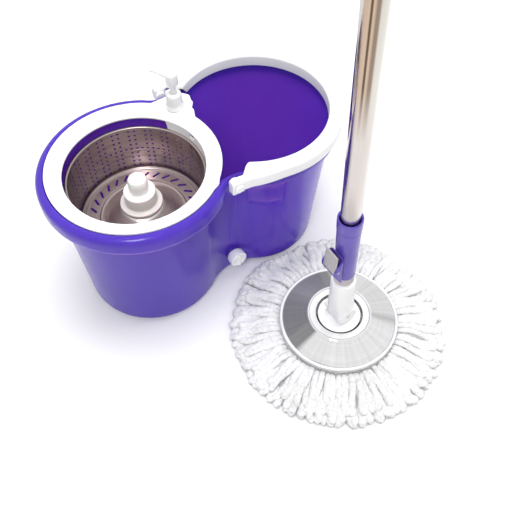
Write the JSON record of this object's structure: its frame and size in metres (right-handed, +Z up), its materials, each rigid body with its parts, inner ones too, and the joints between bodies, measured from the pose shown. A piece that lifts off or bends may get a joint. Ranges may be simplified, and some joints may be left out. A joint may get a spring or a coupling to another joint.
{
  "type": "spin mop with bucket",
  "caption": "Spin mop and two-bowl wringer bucket with a perforated spin basket, splash ring, fold-up carry handle, soap pump, drain plug and a tilting, telescoping pole.",
  "frame": {"origin": "centre of the bucket's flat underside at its waist, midway between the two bowls' centres", "axes": "+Z up, +X from the spin basket to the wash tank, +Y to the back of the bucket, away from the mop"},
  "size_m": [0.4677, 0.5401, 1.1533],
  "materials": {
    "purple": "glossy moulded plastic",
    "white": "smooth moulded plastic",
    "natural": "unpainted natural plastic",
    "grey": "light grey plastic",
    "stainless": "brushed stainless sheet",
    "chrome": "polished",
    "steel": "plain steel",
    "brass": "plain brass",
    "rubber": "black rubber",
    "fibre": "microfibre strands"
  },
  "bodies": {
    "bucket": {"bucket_shell": "purple", "splash_ring": "white", "spindle_post": "natural", "spindle": "steel", "spindle_collar": "steel", "soap_bottle": "natural", "pump_closure": "white", "pump_barrel": "natural", "dip_tube": "natural", "pump_spring": "steel", "drain_bush": "white", "drain_nut": "white", "bush_seal": "rubber", "handle_pin_front": "white", "handle_pin_back": "white"},
    "basket": {"basket_drum": "stainless", "basket_floor": "stainless", "basket_hub": "white", "hub_clamp": "white", "bush_lower": "natural", "bush_upper": "natural"},
    "handle": {"carry_handle": "white"},
    "pump_plunger": {"pump_stem": "white", "pump_piston": "natural"},
    "pump_nozzle": {"pump_head": "white"},
    "plug": {"drain_plug": "white", "plug_seal": "rubber"},
    "mop_disc": {"disc_cover": "chrome", "disc_core": "white", "strand_ring": "white", "mop_strands": "fibre"},
    "pole_foot": {"yoke_stem": "white", "yoke_pin": "steel", "lock_collar": "grey", "lock_sleeve": "purple", "lever_pin": "steel", "inner_tube": "chrome", "clutch_housing": "natural", "drive_nut": "brass"},
    "lever": {"lock_lever": "grey"},
    "bush": {"guide_bush": "natural"},
    "pole_top": {"outer_tube": "chrome", "twist_rod": "steel", "rod_plug": "natural", "grip": "purple", "end_cap": "white"}
  },
  "joints": [
    {"name": "basket_spin", "type": "hinge", "parent": "bucket", "child": "basket", "pos_m": [-0.094, 0, 0.14], "axis": [0, 0, 1], "continuous": true},
    {"name": "handle_fold", "type": "hinge", "parent": "bucket", "child": "handle", "pos_m": [0, 0, 0.237], "axis": [0, -1, 0], "range_deg": [0, 110]},
    {"name": "pump_press", "type": "slide", "parent": "bucket", "child": "pump_plunger", "axis": [0, 0, -1], "range_m": [0, 0.01], "stiffness_N_per_m": 300, "springref_m": -0.004, "deforming": ["pump_spring"]},
    {"name": "nozzle_turn", "type": "hinge", "parent": "pump_plunger", "child": "pump_nozzle", "pos_m": [0.0065, 0.067, 0.285], "axis": [0, 0, 1], "range_deg": [0, 150]},
    {"name": "plug_pull", "type": "slide", "parent": "bucket", "child": "plug", "axis": [0, -1, 0], "range_m": [0, 0.04]},
    {"name": "mop_glide", "type": "slide", "parent": "bucket", "child": "mop_disc", "axis": [0, -1, 0], "range_m": [0, 0.4]},
    {"name": "pole_tilt", "type": "hinge", "parent": "mop_disc", "child": "pole_foot", "pos_m": [0.0812, -0.248, 0.055], "axis": [0, 1, 0], "range_deg": [-70, 76]},
    {"name": "lever_open", "type": "hinge", "parent": "pole_foot", "child": "lever", "pos_m": [0.05135, -0.248, 0.18554], "axis": [0, -1, 0], "range_deg": [0, 70]},
    {"name": "pole_slide", "type": "slide", "parent": "pole_foot", "child": "bush", "axis": [-0.0559, 0, 0.9984], "range_m": [0, 0.2]},
    {"name": "pole_twist", "type": "hinge", "parent": "bush", "child": "pole_top", "pos_m": [0.07281, -0.248, 0.20477], "axis": [-0.0559, 0, 0.9984], "range_deg": [-5, 725]}
  ],
  "couplings": [
    {"joint": "pole_twist", "follows": "pole_slide", "rad_per_m": 62.832}
  ]
}
